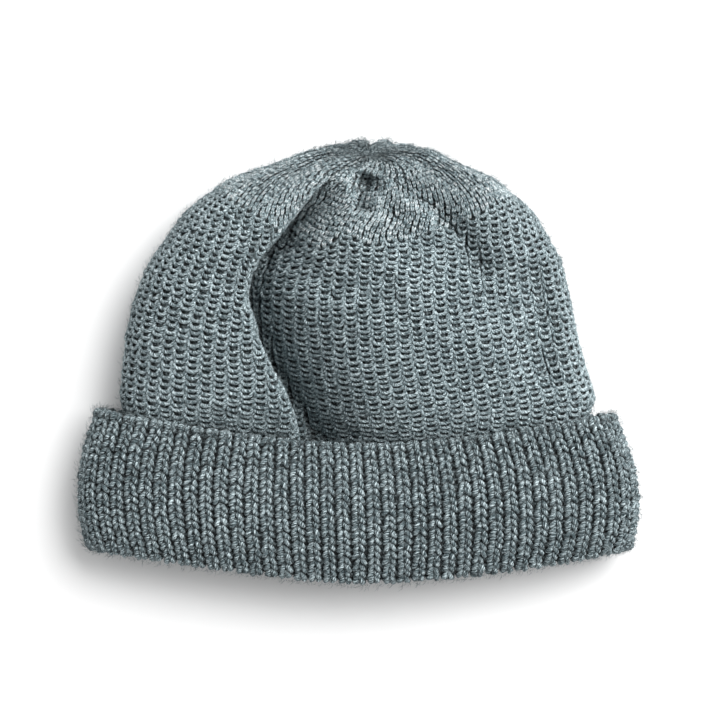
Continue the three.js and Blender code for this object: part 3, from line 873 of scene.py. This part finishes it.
tilt = add(laying, "FunctionNodeEulerToRotation", {
    0: random_about(0.0, g_in.outputs["Turn"], 1)})
turned_stitch = add(laying, "FunctionNodeRotateRotation", {
    0: facing.outputs[0], 1: tilt.outputs[0]}, rotation_space="LOCAL")
swollen = add(laying, "ShaderNodeVectorMath", {
    0: carried("size"), 1: random_about(1.0, g_in.outputs["Swell"], 2)},
    operation="MULTIPLY")
laid = add(laying, "GeometryNodeInstanceOnPoints", {
    "Points": g_in.outputs["Points"], "Instance": shape.outputs["Geometry"],
    "Rotation": turned_stitch.outputs[0], "Scale": swollen.outputs[0]})
real = add(laying, "GeometryNodeRealizeInstances", {"Geometry": laid.outputs[0]})
noise = add(laying, "ShaderNodeTexNoise", {"Scale": 260.0, "Detail": 1.0})
centred = add(laying, "ShaderNodeVectorMath", {
    0: noise.outputs["Color"], 1: (0.5, 0.5, 0.5)}, operation="SUBTRACT")
moved = add(laying, "ShaderNodeVectorMath", {
    0: centred.outputs[0], "Scale": g_in.outputs["Unevenness"]}, operation="SCALE")
uneven = add(laying, "GeometryNodeSetPosition", {
    "Geometry": real.outputs[0], "Offset": moved.outputs[0]})
finished = add(laying, "GeometryNodeSetMaterial", {
    "Geometry": uneven.outputs[0], "Material": g_in.outputs["Wool"]})
laying.links.new(finished.outputs[0], g_out.inputs[0])


ASTRAY = 0.16            # how far a stitch strays from its place, in millimetres


def lay(name, points, facing, across, size, stitch, wool, seed, turn=0.11, swell=0.09,
        uneven=0.8 * MM):
    """Lays a stitch at each point and turns the result into one plain mesh."""
    astray = np.random.default_rng(seed + 100).normal(0, ASTRAY, points.shape)
    piece = new_piece(name, points + astray, [])
    mesh = piece.data
    for label, values in (("facing", facing), ("across", across), ("size", size)):
        layer = mesh.attributes.new(label, "FLOAT_VECTOR", "POINT")
        layer.data.foreach_set("vector", np.ascontiguousarray(values, dtype=np.float32).ravel())
    tones = np.random.default_rng(seed).random(len(points)).astype(np.float32)
    mesh.attributes.new("tone", "FLOAT", "POINT").data.foreach_set("value", tones)
    modifier = piece.modifiers.new("lay stitches", "NODES")
    modifier.node_group = laying
    for label, value in (("Stitch", stitch), ("Wool", wool), ("Turn", turn), ("Swell", swell),
                         ("Unevenness", uneven), ("Seed", seed)):
        modifier[sockets[label].identifier] = value
    bpy.context.view_layer.update()
    graph = bpy.context.evaluated_depsgraph_get()
    baked = bpy.data.meshes.new_from_object(piece.evaluated_get(graph), depsgraph=graph)
    piece.modifiers.remove(modifier)
    piece.data = baked
    baked.name = name
    for label in ("facing", "across", "size"):
        if label in baked.attributes:
            baked.attributes.remove(baked.attributes[label])
    baked.calc_loop_triangles()
    print(name, len(points), "stitches,", len(baked.loop_triangles), "triangles")


# %% [markdown]
# The places of the stitches come from the grids. A column of knitting is one of the eighty
# ribs, and it has the same number of stitches whichever way it goes, so its stitches are
# spaced by its own length. That is also what bends the rows into rings around the gather.

# %% Rows of stitches
THINNEST_YARN = 0.35      # of a stitch's depth, where it is pressed together sideways
TOP_SHARE = 0.67          # of each column's length, where the ribs become plain stitches
GATHER_SHARE = 0.85       # where the columns begin to crowd
HEM_YARN_START = 4        # the cuff's first ring with yarn, inside the mouth


def rows_of_knitting(rings, faces, row, part, columns, aside):
    """A grid of stitches: points, facings, row directions, pitches, heights.
    part gives the shares of each column's length between which the stitches lie, and aside
    how far the columns are moved, as a share of their pitch."""
    picks = (np.arange(columns) + aside) * AROUND / columns
    j0 = np.floor(picks).astype(int) % AROUND
    sub = (picks - np.floor(picks))[None, :, None]
    wales = rings[:, j0] * (1 - sub) + rings[:, (j0 + 1) % AROUND] * sub
    ways = faces[:, j0] * (1 - sub) + faces[:, (j0 + 1) % AROUND] * sub
    steps = np.linalg.norm(np.diff(wales, axis=0), axis=2)
    along = np.vstack([np.zeros(columns), np.cumsum(steps, axis=0)])
    rows = max(1, round(along[-1].mean() * (part[1] - part[0]) / row))
    shares = part[0] + (part[1] - part[0]) * (np.arange(rows) + 0.5) / rows
    half = (part[1] - part[0]) / rows / 2

    def sampled(grid, shares):
        out = np.empty((len(shares), columns, 3))
        for c in range(columns):
            for k in range(3):
                out[:, c, k] = np.interp(shares * along[-1, c], along[:, c], grid[:, c, k])
        return out

    points = sampled(wales, shares)
    facing = unit(sampled(ways, shares))
    above, below = np.minimum(shares + half, 1), np.maximum(shares - half, 0)
    up = sampled(wales, above) - sampled(wales, below)
    heights = np.linalg.norm(up, axis=2)
    side = np.cross(unit(up), facing)
    around = np.roll(points, -1, axis=1) - np.roll(points, 1, axis=1)
    pitches = np.abs((around * unit(side)).sum(2)) / 2
    return (points.reshape(-1, 3), facing.reshape(-1, 3), unit(side).reshape(-1, 3),
            pitches.ravel(), heights.ravel())


def knit(name, seed, grid, kind, part=(0.0, 1.0), columns=RIBS, aside=0.0, uneven=0.8 * MM):
    """Lays one kind of stitch over part of a grid, stretched as the grid asks there."""
    stitch, wool, pitch, row = kind
    points, facing, across, pitches, heights = rows_of_knitting(
        *grid, row, part, columns, aside)
    print(name, "pitch", pitches.mean().round(2), "row", heights.mean().round(2))
    wide = pitches / pitch
    size = np.stack([wide, heights / row, np.clip(wide, THINNEST_YARN, 1.0)], axis=1)
    lay(name, points, facing, across, size, stitch, wool, seed, uneven=uneven)


def cuff_grid(first, last=None):
    return strip[first:last], strip_faces[first:last]


roofs = (roof_stitch, cuff_wool, CUFF_PITCH, CUFF_ROW)
loops = (loop_stitch, crown_wool, CROWN_PITCH, CROWN_ROW)
vees = (vee_stitch, top_wool, TOP_PITCH, TOP_ROW)
hem_middle = INSIDE_RINGS + HEM_RINGS // 2
knit("cuff_yarn", 11, cuff_grid(hem_middle), roofs)
knit("hem_yarn", 12, cuff_grid(HEM_YARN_START, hem_middle + 1), roofs)

throat_first = len(tucked) - 2
crown_grid = (crown_rings[throat_first:], crown_normals[throat_first:])
knit("crown_yarn_low", 21, crown_grid, loops, (0.0, TOP_SHARE / 2))
knit("crown_yarn_high", 22, crown_grid, loops, (TOP_SHARE / 2, TOP_SHARE))
# Toward the gather every second column goes under its neighbour.
knit("crown_yarn_top", 23, crown_grid, vees, (TOP_SHARE, GATHER_SHARE), 2 * RIBS, 0.5, 0.5 * MM)
knit("crown_yarn_gather", 24, crown_grid, vees, (GATHER_SHARE, 1.0), RIBS, 0.5, 0.5 * MM)
for stitch in (roof_stitch, loop_stitch, vee_stitch):
    bpy.data.objects.remove(stitch)

# %% [markdown]
# Wool is hairy. Single fibres stand out of the yarn everywhere, and they soften the outline of
# the hat against the white. They are laid by the same tree: each is one bent hair, closed and
# pointed, and the turn is far larger than for a stitch.

# %% Loose fibres
# A hair is a spindle: two tips and a ring of three points at its bend, so it has six faces.
HAIR_ROOT, HAIR_BEND, HAIR_TIP = [0, 0, -0.3], [0.7, 0.1, 0.8], [1.9, 0.5, 1.1]
HAIR_RADIUS = 0.045
HAIR_FACES = [(0, 1, 2), (0, 2, 3), (0, 3, 1), (4, 2, 1), (4, 3, 2), (4, 1, 3)]
LOWEST_HAIR = 4          # no hair grows below this height, in millimetres
bend = [HAIR_BEND + HAIR_RADIUS * np.array([-0.6 * math.cos(a), math.sin(a), math.cos(a)])
        for a in np.radians([0, 120, 240])]
hair = new_piece("hair", [HAIR_ROOT, *bend, HAIR_TIP], HAIR_FACES)
hair.data.uv_layers.new(name="UVMap")
hair.data.attributes.new("lit", "FLOAT", "POINT").data.foreach_set("value", [1.0] * 5)
face_outward(hair)


def hairs_on(name, rings, faces, count, wool, seed):
    """Lays loose fibres at random places of a grid, away from the floor."""
    rng = np.random.default_rng(seed)
    row = rng.random(count * 2) * (len(rings) - 1.001)
    column = rng.integers(0, AROUND, count * 2)
    k = row.astype(int)
    t = (row - k)[:, None]
    points = rings[k, column] * (1 - t) + rings[k + 1, column] * t
    facing = faces[k, column]
    keep = np.flatnonzero(points[:, 2] > LOWEST_HAIR)[:count]
    angle = rng.random(count * 2) * 2 * math.pi
    side = unit(np.cross(facing, np.stack([np.cos(angle), np.sin(angle), 0.3 * angle], axis=1)))
    size = rng.uniform(0.6, 1.6, (count * 2, 1)) * np.array([[1.0, 1.0, 0.9]])
    lay(name, points[keep], facing[keep], side[keep], size[keep], hair, wool, seed,
        turn=0.6, swell=0.3, uneven=0.3 * MM)


hairs_on("crown_hairs", *crown_grid, 13000, crown_wool, 31)
hairs_on("cuff_hairs", *cuff_grid(INSIDE_RINGS), 10000, cuff_wool, 32)
bpy.data.objects.remove(hair)

# %% [markdown]
# The hat is photographed on white, in the soft light of a studio. A large lamp stands high at
# the upper right, so the shadow falls softly to the left and below, and the white room fills
# the rest.

# %% Floor and light
FLOOR_REACH = 1500       # from the middle to each side, in millimetres
corners = FLOOR_REACH * np.array([[-1, -1, 0], [1, -1, 0], [1, 1, 0], [-1, 1, 0]])
floor = new_piece("floor", corners, [(0, 1, 2, 3)])
paper, tree, shader = matt_material("white_paper", 0.9, 0.1)
shader.inputs["Base Color"].default_value = (0.93, 0.93, 0.93, 1)
floor.data.materials.append(paper)

world = bpy.data.worlds.new("white_room")
bpy.context.scene.world = world
world.use_nodes = True
background = world.node_tree.nodes["Background"]
background.inputs["Color"].default_value = (1, 1, 1, 1)
background.inputs["Strength"].default_value = 0.54


def lamp(name, azimuth, elevation, distance, size, power):
    """A square soft lamp that looks at the hat from a direction, in degrees and metres."""
    data = bpy.data.lights.new(name, "AREA")
    data.size = size
    data.energy = power
    light = add_object(name, data)
    a, e = math.radians(azimuth), math.radians(elevation)
    toward = np.array([math.cos(e) * math.cos(a), math.cos(e) * math.sin(a), math.sin(e)])
    light.location = toward * distance
    light.rotation_euler = (math.pi / 2 - e, 0, a + math.pi / 2)
    return light


key = lamp("key", azimuth=42, elevation=47, distance=2.2, size=1.8, power=74)
bpy.context.scene.view_settings.view_transform = "Standard"
print("lamps:", key.name)

# %% [markdown]
# At the end every piece is tied to the imported model: it rides on the hat's one body, and
# stands for its solid.

# %% Ride and replace
pieces = {
    "crown": ["crown_knit", "crown_yarn_low", "crown_yarn_high", "crown_yarn_top",
              "crown_yarn_gather", "crown_hairs"],
    "cuff": ["cuff_knit", "cuff_yarn", "hem_yarn", "cuff_hairs"],
}
for node, names in pieces.items():
    for name in names:
        piece = bpy.data.objects[name]
        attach(piece, "root")
    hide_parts(node)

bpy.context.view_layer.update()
